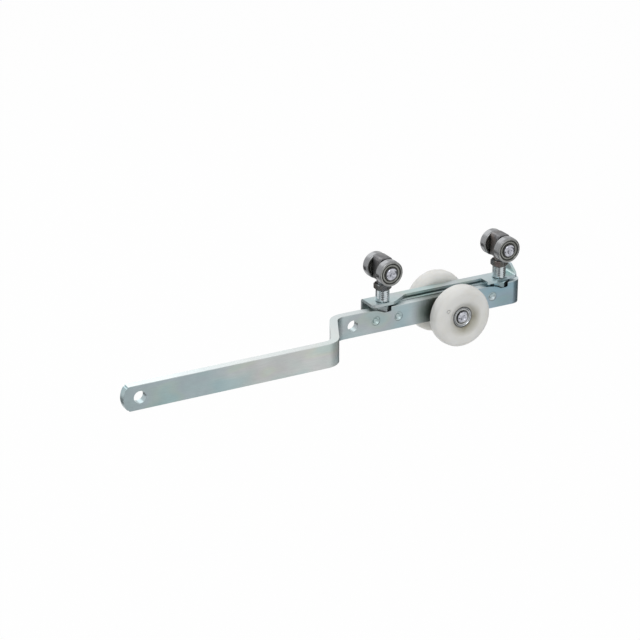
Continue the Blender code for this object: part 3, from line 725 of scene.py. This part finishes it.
finished("wheel_axle_pin", wheel_axle_mesh(), pin_end, "carriage", ["wheel_axle"])
for node in ("axle_spacer", "front_wheel_washer", "rear_wheel_washer"):
    low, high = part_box(node)
    profile = soft_tube((high.x - low.x) / 2, axle_radius + 0.0002, low.y, high.y, 0.0002)
    ring_mesh = turned(profile, (wheel_x, 0, wheel_z), "Y", 48)
    finished(f"{node}_ring", ring_mesh, zinc, "carriage", [node])


# Guide wheels. Natural nylon, moulded with a full round tread and a shallow dish round the
# bearing. Each keeps the mould's gate mark, a fine parting line and a little grease near the hub.
dish_radius = 0.0143


def axle_reach(tree, place, x, z):
    """A point's place across an axle at (x, z), and its distance from that axle."""
    moved = add_node(tree, "ShaderNodeMapping", {"Vector": place, "Location": (-x, 0.0, -z)})
    flat = stretched(tree, moved.outputs["Vector"], (1.0, 0.0, 1.0))
    return flat, measured(tree, "LENGTH", flat, (0.0, 0.0, 0.0))


def seam(tree, reach, radius, half_width):
    """One on a ring of this radius, falling to nothing a half width away."""
    apart = combined(tree, combined(tree, reach, radius, "SUBTRACT"), 0.0, "ABSOLUTE")
    return between(tree, apart, 1.0, 0.0, half_width / 2, half_width)


def nylon(side):
    """Slightly translucent natural nylon, faintly clouded, with brown grease round the hub and a painted dark
    ring of shade at the bore.
    """
    made, tree, shader, place = new_finish(f"{side}_natural_nylon")
    flat, reach = axle_reach(tree, place, wheel_x, wheel_z)
    clouds = mottle(tree, place, 55.0, 4.0, 0.55)
    whites = ((0.30, (0.615, 0.61, 0.585)), (0.5, (0.655, 0.655, 0.635)), (0.72, (0.695, 0.695, 0.685)))
    base = colour_ramp(tree, clouds, whites)
    near_hub = between(tree, reach, 1.0, 0.0, 0.0095, 0.0155)
    downhill = measured(tree, "DOT_PRODUCT", flat, (0.75, 0.0, -0.66))
    one_side = between(tree, downhill, 0.22, 1.0, -0.006, 0.008)
    blotches = between(tree, mottle(tree, place, 120.0, 5.0, 0.65), 0.7, 1.0)
    grease = combined(tree, combined(tree, near_hub, one_side), blotches)
    stained = mixed(tree, grease, base, (0.24, 0.225, 0.16, 1.0))
    # Painted shade: a dark ring in the gap round the bearing, broken up a little.
    gap_shade_breaks = between(tree, mottle(tree, place, 170.0, 3.0, 0.6), 0.35, 1.0)
    painted_gap_shade = combined(tree, seam(tree, reach, wheel_bearing_radius + 0.0002, 0.0008), gap_shade_breaks)
    gap_shaded = mixed(tree, painted_gap_shade, stained, (0.07, 0.075, 0.07, 1.0))
    yellow = between(tree, mottle(tree, place, 38.0, 2.0, 0.4), 0.0, 0.5, 0.5, 0.75)
    aged = mixed(tree, yellow, gap_shaded, (0.93, 0.92, 0.84, 1.0), "MULTIPLY")
    tree.links.new(aged, shader.inputs["Base Color"])
    tree.links.new(between(tree, clouds, 0.48, 0.38), shader.inputs["Roughness"])
    shader.inputs["Subsurface Weight"].default_value = 0.25
    shader.inputs["Subsurface Radius"].default_value = (1.0, 0.9, 0.75)
    shader.inputs["Subsurface Scale"].default_value = 0.002
    bumped(tree, shader, mottle(tree, place, 700.0, 3.0, 0.6), 0.12, 0.0001)
    return made


def nylon_wheel_mesh(plane, outward):
    """The wheel, with a small moulding pip standing in a shallow ring on its outer face."""
    bore = wheel_bearing_radius + 0.0001
    hub_face = wheel_bearing_half - 0.0003
    shoulder = 0.005
    shoulder_reach = wheel_radius - 0.0003 - shoulder
    side_face = [
        (bore, hub_face, 0.0003),
        (0.0094, hub_face, 0.0008),
        (0.0125, wheel_half - 0.0006, 0.006),
        (dish_radius + 0.0025, wheel_half, 0.004),
        (shoulder_reach, wheel_half, 0),
    ]
    half = rounded(side_face, closed=False, step=6)
    half += arc_points((shoulder_reach, wheel_half - shoulder), shoulder, 87, 3, 20)
    half.append((wheel_radius - 0.0001, 0.0003))
    profile = half + [(wheel_radius, 0.0)] + flipped(half)
    body = turned(profile, (wheel_x, plane, wheel_z), "Y", 128)
    pip_angle = math.radians(151)
    pip_reach = 0.0169
    face_y = plane + outward * wheel_half
    pip_x = wheel_x + pip_reach * math.cos(pip_angle)
    pip_z = wheel_z + pip_reach * math.sin(pip_angle)
    over, deep, pip_top = 0.0008, -0.0009, -0.0002
    dent = [(0, over), (0.0015, over), (0.0020, deep), (0.0013, deep), (0.0008, pip_top), (0, pip_top)]
    dent = [(radius, outward * height) for radius, height in dent]
    dimple = turned(dent, (pip_x, face_y, pip_z), "Y", 32, ring=False)
    return united(body, [("DIFFERENCE", dimple)])


for side, plane in wheel_planes.items():
    mesh = nylon_wheel_mesh(plane, math.copysign(1, plane))
    finished(f"{side}_guide_wheel", mesh, nylon(side), f"{side}_wheel", [f"{side}_nylon_wheel"])


# Ball bearings. Six shielded bearings: one pressed into each nylon wheel and four that are the
# trolley rollers themselves. Each is an outer ring, a pressed shield each side, an inner ring and
# a ribbon cage that spaces the balls.
def ring_steel(name, axle, dark, light, rough, shaded_gaps=(), bright_from=1.0):
    """Ground ring steel under a light coat of oil, with grinding lines and a dull film in patches.

    The rings given after the roughness, round the axle's (x, z), are painted shade in the gaps between rings
    and shields: radius, half width.
    Beyond bright_from the steel is polished by running on the track.
    """
    made, tree, shader, place = new_finish(name)
    film = mottle(tree, place, 240.0, 4.0, 0.6)
    coat = colour_ramp(tree, film, ((0.33, dark), (0.66, light)))
    reach = axle_reach(tree, place, *axle)[1]
    # Painted shade in the gaps round the rings and shields.
    for radius, half_width in shaded_gaps:
        coat = mixed(tree, seam(tree, reach, radius, half_width), coat, (0.06, 0.062, 0.058, 1.0))
    polished = between(tree, reach, 0.0, 0.85, bright_from - 0.0004, bright_from)
    coat = mixed(tree, polished, coat, (0.25, 0.255, 0.265, 1.0))
    lines = mottle(tree, stretched(tree, place, (1.0, 8.0, 1.0)), 700.0)
    metal(tree, shader, coat, between(tree, film, rough + 0.12, rough), lines, (0.15, 0.00005))
    return made


ball_steel = ring_steel("ball_steel", (0, 0), (0.60, 0.60, 0.62), (0.72, 0.72, 0.74), 0.08)


def ball_cage_mesh(centre, pitch, ball, count):
    """Balls set round a ribbon cage."""
    sizes = {"Pitch": pitch, "Ball Radius": ball, "Ribbon": 0.0005}
    sockets = [(label, "Float") for label in sizes] + [("Balls", "Int"), ("Finish", "Material")]
    tree, given = node_recipe("ball_cage", sockets)
    ring = {"Vertices": given["Balls"], "Radius": given["Pitch"]}
    circle = add_node(tree, "GeometryNodeMeshCircle", ring)
    globe = {"Segments": 24, "Rings": 12, "Radius": given["Ball Radius"]}
    sphere = add_node(tree, "GeometryNodeMeshUVSphere", globe)
    balls = on_points(tree, circle.outputs["Mesh"], sphere.outputs["Mesh"])
    path = add_node(tree, "GeometryNodeCurvePrimitiveCircle", {"Resolution": 96, "Radius": given["Pitch"]})
    strip = {"Width": given["Ribbon"], "Height": given["Ball Radius"]}
    section = add_node(tree, "GeometryNodeCurvePrimitiveQuadrilateral", strip)
    bent = {"Curve": path.outputs["Curve"], "Profile Curve": section.outputs["Curve"]}
    ribbon = add_node(tree, "GeometryNodeCurveToMesh", bent)
    joined = tree.nodes.new("GeometryNodeJoinGeometry")
    tree.links.new(ribbon.outputs["Mesh"], joined.inputs["Geometry"])
    tree.links.new(balls, joined.inputs["Geometry"])
    values = {**sizes, "Balls": count, "Finish": ball_steel}
    mesh = grown(tree, given, joined.outputs["Geometry"], bpy.data.meshes.new("start"), values)
    mesh.transform(Matrix.Translation(centre) @ Matrix.Rotation(math.radians(-90), 4, "X"))
    return mesh


def bearing(name, centre, outer_body, inner_body, ball_body, finishes, sizes):
    """One bearing. sizes: radius, half width, bore, land, lip, pitch, ball, balls, edge."""
    radius, half, bore, land, lip, pitch, ball, count, edge = sizes
    outer_finish, shield_finish, inner_finish = finishes
    gap = 0.0001                        # between the balls and either ring
    outer = [
        (pitch + ball + gap, half - 0.0009, 0),
        (lip, half - 0.0009, 0),
        (lip, half - 0.0004, 0.0001),
        (lip + 0.0004, half, 0.0001),
        (radius, half, edge),
    ]
    mesh = turned(rounded(outer + flipped(outer)), centre, "Y", 96)
    finished(f"{name}_outer", mesh, outer_finish, outer_body, [f"{name}_outer_ring"])
    face = half - 0.00035
    shield = [
        (lip - 0.0001, face, 0.0002),
        (lip - 0.0001, face - 0.0004, 0.0001),
        (land + 0.0003, face - 0.0004, 0.0001),
        (land + 0.0003, face - 0.0001, 0.0001),
        (land + 0.0008, face - 0.0001, 0.0002),
        (lip - 0.0008, face - 0.00015, 0.0002),
    ]
    for sign, label in ((-1, "front"), (1, "rear")):
        corners = [(r, sign * h, c) for r, h, c in shield]
        mesh = turned(rounded(corners, step=20), centre, "Y", 72)
        finished(f"{name}_{label}_shield", mesh, shield_finish, outer_body, [])
    inner = [
        (bore, half, 0.0003),
        (land, half, 0.0002),
        (land, ball * 0.7, 0),
        (pitch - ball - gap, ball * 0.35, 0),
    ]
    mesh = turned(rounded(inner + flipped(inner)), centre, "Y", 64)
    finished(f"{name}_inner", mesh, inner_finish, inner_body, [f"{name}_inner_ring"])
    mesh = ball_cage_mesh(centre, pitch, ball, count)
    finished(f"{name}_balls", mesh, ball_steel, ball_body, [f"{name}_ball_set"])


hub_steels = (                          # each: dark and light tone, roughness, rings of painted gap shade
    ("hub_ring_steel", (0.40, 0.42, 0.44), (0.56, 0.58, 0.60), 0.2, ((wheel_bearing_radius, 0.0005),)),
    ("hub_shield_steel", (0.42, 0.43, 0.43), (0.60, 0.61, 0.61), 0.3, ((0.0053, 0.0005), (0.0069, 0.0003))),
    ("hub_race_steel", (0.36, 0.37, 0.39), (0.52, 0.53, 0.56), 0.2, ((0.0050, 0.0003),)),
)
hub_finishes = [ring_steel(name, (wheel_x, wheel_z), *steel) for name, *steel in hub_steels]
hub_sizes = (wheel_bearing_radius, wheel_bearing_half, 0.0042, 0.0050, 0.0069, 0.0062, 0.00105, 8, 0.0004)
for side, plane in wheel_planes.items():
    centre, body = (wheel_x, plane, wheel_z), f"{side}_wheel"
    bearing(f"{body}_bearing", centre, body, "carriage", f"{body}_balls", hub_finishes, hub_sizes)


# Trolleys. Two steel blocks, each with a neck that screws onto its swivel stud. A pin through
# the block carries a roller each side and is riveted over round a punch mark.
(_, front_plane, roller_z), (_, roller_half, roller_radius) = node_size("left_front_roller_outer_ring")
roller_offset = -front_plane
stud_radius = 0.004


def dark_steel():
    """Oiled dark steel with a drawn grain and a few coppery heat stains."""
    made, tree, shader, place = new_finish("dark_steel")
    film = mottle(tree, place, 190.0, 4.0, 0.6)
    greys = ((0.3, (0.11, 0.11, 0.115)), (0.55, (0.17, 0.17, 0.175)), (0.75, (0.25, 0.24, 0.24)))
    base = colour_ramp(tree, film, greys)
    copper = between(tree, mottle(tree, place, 75.0, 2.0, 0.5), 0.0, 0.5, 0.52, 0.68)
    stained = mixed(tree, copper, base, (0.30, 0.22, 0.18, 1.0))
    grain = mottle(tree, stretched(tree, place, (1.0, 1.0, 6.0)), 420.0)
    metal(tree, shader, stained, between(tree, film, 0.42, 0.28), grain, (0.2, 0.00008))
    return made


dark = dark_steel()


def block_mesh(side, x):
    low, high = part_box(f"{side}_trolley_block")
    left, right = x - (high.x - low.x) / 2, x + (high.x - low.x) / 2
    depth = 0.0112
    foot = 0.0013
    boss, bore = 0.0053, 0.00405
    neck = 0.00465
    top, base = 0.0028, 0.002           # how far the corners are rounded
    outline = [(left, high.z, top), (left, foot, base), (right, foot, base), (right, high.z, top)]
    body = upright(punched(rounded(outline), [], depth, 0.0008), 0)
    boss_profile = soft_tube(boss, bore, -high.y, high.y, 0.0002)
    inside = foot + 0.002
    neck_corners = [(0, inside, 0), (neck, inside, 0), (neck, low.z, 0.0005), (0, low.z, 0)]
    neck_profile = rounded(neck_corners, closed=False)
    parts = [
        ("UNION", turned(boss_profile, (x, 0, roller_z), "Y", 56)),
        ("UNION", turned(neck_profile, (x, 0, 0), "Z", 56, ring=False)),
    ]
    return united(body, parts)


def trolley_axle_mesh(x, reach):
    """A pin with its ends riveted over to a low dome with a punch mark at the centre."""
    face = roller_offset + roller_half + 0.0002
    end = [
        (0, reach - 0.0010, 0),
        (0.0007, reach - 0.0009, 0.0004),
        (0.0019, reach - 0.0001, 0.0005),
        (0.0028, reach, 0.0005),
        (0.0038, reach - 0.0002, 0.0004),
        (0.0047, reach - 0.0009, 0.0003),
        (0.0047, face, 0.0001),
        (axle_radius, face, 0),
    ]
    profile = rounded(end + flipped(end), closed=False, step=15)
    return turned(profile, (x, 0, roller_z), "Y", 56, ring=False)


roller_sizes = (roller_radius, roller_half, 0.0042, 0.0057, 0.0080, 0.0073, 0.0016, 7, 0.0012)
polished_from = 0.0098                  # the radius beyond which a roller is bright
# Each: dark and light tone, roughness, rings of painted gap shade and, for the outer ring, where it turns
# bright.
roller_steels = (
    ("roller_steel", (0.215, 0.22, 0.21), (0.335, 0.34, 0.33), 0.2, ((0.0080, 0.0004),), polished_from),
    ("shield_steel", (0.20, 0.205, 0.185), (0.31, 0.315, 0.295), 0.32, ((0.0076, 0.0006),)),
    ("race_steel", (0.07, 0.07, 0.07), (0.14, 0.14, 0.14), 0.3, ((0.0056, 0.0005),)),
)
for side, x in pin_places:
    body = f"{side}_trolley"
    finished(f"{side}_block", block_mesh(side, x), dark, body, [f"{side}_trolley_block"])
    pin = trolley_axle_mesh(x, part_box(f"{side}_trolley_axle")[1].y)
    finished(f"{side}_axle_pin", pin, pin_end, body, [f"{side}_trolley_axle"])
    finishes = [ring_steel(f"{side}_{name}", (x, roller_z), *steel) for name, *steel in roller_steels]
    for end, sign in (("front", -1), ("rear", 1)):
        roller = f"{side}_{end}_roller"
        centre = (x, sign * roller_offset, roller_z)
        bearing(roller, centre, roller, body, f"{roller}_balls", finishes, roller_sizes)


# Swivels. A threaded stud from each block passes a turned sleeve that stands on the plate. A
# hexagon nut locks it under the block and a thin one holds it under the plate.
def hex_nut_mesh(node, both_faces):
    """A hexagon with its corners turned off, and a plain bore."""
    centre, (flat, _, half) = node_size(node)
    corner = 2 * flat / math.sqrt(3)
    shape = bmesh.new()
    bmesh.ops.create_cone(shape, cap_ends=True, segments=6, radius1=corner, radius2=corner, depth=2 * half)
    mesh = as_mesh(shape, bpy.data.meshes.new("hexagon"))
    mesh.transform(Matrix.Translation(centre))
    slope = math.tan(math.radians(30))
    rim = flat - 0.0001
    drop = (corner + 0.0004 - rim) * slope
    rise = 0.001 * slope
    top = [(0, half + rise), (rim - 0.001, half + rise), (corner + 0.0004, half - drop)]
    base = flipped(top) if both_faces else [(corner + 0.0004, -2 * half), (0, -2 * half)]
    dome = turned(top + base, centre, "Z", 72, ring=False)
    bore, flare = stud_radius + 0.0001, stud_radius + 0.0015
    bore_top = [(0, 2 * half), (flare, 2 * half), (bore, half - 0.0005)]
    cutter = turned(bore_top + flipped(bore_top), centre, "Z", 48, ring=False)
    return united(mesh, [("INTERSECT", dome), ("DIFFERENCE", cutter)])


def stud_mesh(x, low_z, high_z):
    """The stud, with the last turns of its thread showing at each end."""
    pitch, turns = 0.00125, 4
    root = stud_radius - 0.0006
    profile = [(0, high_z), (root, high_z)]
    for turn in range(turns):
        z = high_z - 0.0004 - turn * pitch
        profile += [(stud_radius, z), (stud_radius, z - 0.0002), (root, z - pitch / 2)]
    profile.append((stud_radius, high_z - 0.0004 - turns * pitch))
    lower = low_z + 0.0003 + turns * pitch
    profile.append((stud_radius, lower))
    for turn in range(turns):
        z = lower - turn * pitch
        profile += [(root, z - pitch / 2), (stud_radius, z - pitch + 0.0002), (stud_radius, z - pitch)]
    profile += [(root, low_z), (0, low_z)]
    return turned(profile, (x, 0, 0), "Z", 48, ring=False)


def tinted_zinc():
    """Plate on the nut, bluish with brown and straw tints where it has been handled."""
    made, tree, shader, place = new_finish("tinted_zinc")
    cloud = mottle(tree, place, 300.0, 4.0, 0.6)
    base = colour_ramp(tree, cloud, ((0.34, (0.17, 0.17, 0.175)), (0.66, (0.36, 0.365, 0.37))))
    handled = mottle(tree, stretched(tree, place, (1.0, 1.0, 0.4)), 140.0, 2.0, 0.5)
    tints = ((0.38, (0.93, 0.98, 1.0)), (0.5, (1.0, 0.97, 0.86)), (0.62, (1.0, 0.80, 0.74)))
    coat = mixed(tree, 0.9, base, colour_ramp(tree, handled, tints), "MULTIPLY")
    marks = mottle(tree, stretched(tree, place, (1.0, 1.0, 7.0)), 600.0)
    metal(tree, shader, coat, between(tree, cloud, 0.30, 0.18), marks, (0.2, 0.00006))
    return made


def sleeve_profile(low, high):
    """A turned tube with the shallow rings that the tool left round it."""
    outer = (high.x - low.x) / 2
    inner = stud_radius + 0.0001
    chamfer = 0.0003
    pitch, depth = 0.0016, 0.00006
    profile = [(inner, high.z), (outer - chamfer, high.z)]
    reach = high.z - low.z - 2 * chamfer
    steps = round(reach / pitch * 4)
    for step in range(steps + 1):
        z = high.z - chamfer - reach * step / steps
        profile.append((outer - depth * (1 - math.cos(step * math.pi / 2)) / 2, z))
    return profile + [(outer - chamfer, low.z), (inner, low.z)]


bright = bright_zinc("bright_zinc", (0.42, 0.47, 0.49), (0.64, 0.69, 0.71), (1.0, 1.0, 9.0), 0.09)
nut_finish = tinted_zinc()
for side, x in pin_places:
    body = f"{side}_trolley"
    low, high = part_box(f"{side}_swivel_stud")
    stud = stud_mesh(x, low.z, high.z)
    finished(f"{side}_stud", stud, bright, body, [f"{side}_swivel_stud"])
    low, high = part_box(f"{side}_swivel_sleeve")
    sleeve = turned(sleeve_profile(low, high), (x, 0, 0), "Z", 64)
    finished(f"{side}_sleeve", sleeve, bright, "carriage", [f"{side}_swivel_sleeve"])
    lock = hex_nut_mesh(f"{side}_lock_nut", True)
    finished(f"{side}_block_nut", lock, nut_finish, body, [f"{side}_lock_nut"], crisp=20)
    foot = hex_nut_mesh(f"{side}_foot_nut", False)
    finished(f"{side}_plate_nut", foot, zinc, body, [f"{side}_foot_nut"], crisp=20)


# Studio. A plain white floor well below, a broad soft lamp behind and one at the front left.
# Four dark cards show only in reflections, as for any bright metal, to give its edges their shape.
def seen_directly(tree):
    """One or more for a ray from the camera, from a reflection or through a clear piece."""
    rays = add_node(tree, "ShaderNodeLightPath").outputs
    seen = combined(tree, rays["Is Camera Ray"], rays["Is Glossy Ray"], "ADD")
    return combined(tree, seen, rays["Is Transmission Ray"], "ADD")


def stage_white(name, tone):
    """White to the camera and in reflections, with a share of plain paint to hold the shadow."""
    made, tree, _, _ = new_finish(name)
    tree.nodes.clear()
    share = combined(tree, seen_directly(tree), 0.96)
    white = add_node(tree, "ShaderNodeEmission", {"Color": (1, 1, 1, 1), "Strength": 1.0})
    pale = add_node(tree, "ShaderNodeBsdfDiffuse", {"Color": (tone, tone, tone, 1.0)})
    shares = {0: share, 1: pale.outputs["BSDF"], 2: white.outputs["Emission"]}
    choice = add_node(tree, "ShaderNodeMixShader", shares)
    output = tree.nodes.new("ShaderNodeOutputMaterial")
    tree.links.new(choice.outputs["Shader"], output.inputs["Surface"])
    return made


def stage_card(name, size, place, material):
    """A flat square of the studio, facing up until its place turns it."""
    shape = bmesh.new()
    bmesh.ops.create_grid(shape, x_segments=1, y_segments=1, size=size)
    mesh = as_mesh(shape, bpy.data.meshes.new(name))
    mesh.transform(place)
    mesh.materials.append(material)
    card = in_scene(name, mesh)
    return card


floor_z = cad_low.z - 0.30
stage_card("floor", 8.0, Matrix.Translation((0, 0, floor_z)), stage_white("floor_white", 0.72))


def card_tone(name, tone):
    """Plain card of one grey."""
    made, _, shader, _ = new_finish(name)
    shader.inputs["Base Color"].default_value = (tone, tone, tone, 1.0)
    return made


def floor_card(x, y, turn, width, depth):
    """Where a card lies just over the floor, turned to face the part."""
    place = Matrix.Translation((x, y, floor_z + 0.01)) @ Matrix.Rotation(math.radians(turn), 4, "Z")
    return place @ Matrix.Diagonal((width, depth, 1.0, 1.0))


card_black = card_tone("card_black", 0.05)
card_grey = card_tone("card_grey", 0.15)
upright_card = Matrix.Rotation(math.radians(90), 4, "Y") @ Matrix.Diagonal((0.22, 1.0, 1.0, 1.0))
cards = {
    "right_card": (0.85, Matrix.Translation((0.62, 0.10, -0.17)) @ upright_card, card_grey),
    "corner_card": (1.0, floor_card(0.42, 0.50, -45.0, 0.26, 0.22), card_black),
    "near_card": (1.0, floor_card(-0.43, -0.72, -28.5, 0.30, 0.34), card_black),
    "far_card": (1.0, floor_card(-0.46, 0.72, 30.0, 0.30, 0.30), card_black),
}
for label, (size, place, paint) in cards.items():
    card = stage_card(label, size, place, paint)
    card.visible_camera = False
    card.visible_diffuse = False
    card.visible_shadow = False


def soft_lamp(name, place, aim, size, power):
    """A square lamp turned toward a point."""
    lamp = bpy.data.lights.new(name, "AREA")
    lamp.shape = "SQUARE"
    lamp.size = size
    lamp.energy = power
    holder = in_scene(name, lamp)
    holder.location = place
    holder.rotation_euler = (Vector(aim) - Vector(place)).to_track_quat("-Z", "Y").to_euler()


middle = (cad_low + cad_high) / 2
soft_lamp("key_lamp", (-0.6, -1.0, 1.3), middle, 0.8, 5.5)
soft_lamp("back_lamp", (-0.1, 1.5, 1.0), middle, 1.3, 5.0)

world = bpy.data.worlds.new("studio")
bpy.context.scene.world = world
world.use_nodes = True
sky = world.node_tree
sky.nodes.clear()
direction = add_node(sky, "ShaderNodeTexCoord").outputs["Generated"]
split = add_node(sky, "ShaderNodeSeparateXYZ", {"Vector": direction})
height_glow = between(sky, split.outputs["Z"], 0.36, 1.0, -0.1, 0.45)
strength = between(sky, seen_directly(sky), height_glow, 1.0)
studio_glow = add_node(sky, "ShaderNodeBackground", {"Color": (1, 1, 1, 1), "Strength": strength})
world_output = sky.nodes.new("ShaderNodeOutputWorld")
sky.links.new(studio_glow.outputs["Background"], world_output.inputs["Surface"])


# Camera. A long lens well back, a little above and to the left of the arm, and aimed near the
# middle of the part.
view_azimuth = math.radians(28.519)
view_elevation = math.radians(22.5)
view_distance = 1.6261
view_aim = Vector((-0.0895, 0.0328, -0.0368))
camera = bpy.data.cameras.new("camera")
camera.sensor_width = 36.0
camera.lens = 118.07
camera_holder = in_scene("camera", camera)
level = math.cos(view_elevation)
toward = Vector((-math.sin(view_azimuth) * level, -math.cos(view_azimuth) * level, math.sin(view_elevation)))
camera_holder.location = view_aim + toward * view_distance
camera_holder.rotation_euler = (-toward).to_track_quat("-Z", "Y").to_euler()
bpy.context.scene.camera = camera_holder
bpy.context.scene.view_settings.view_transform = "Standard"
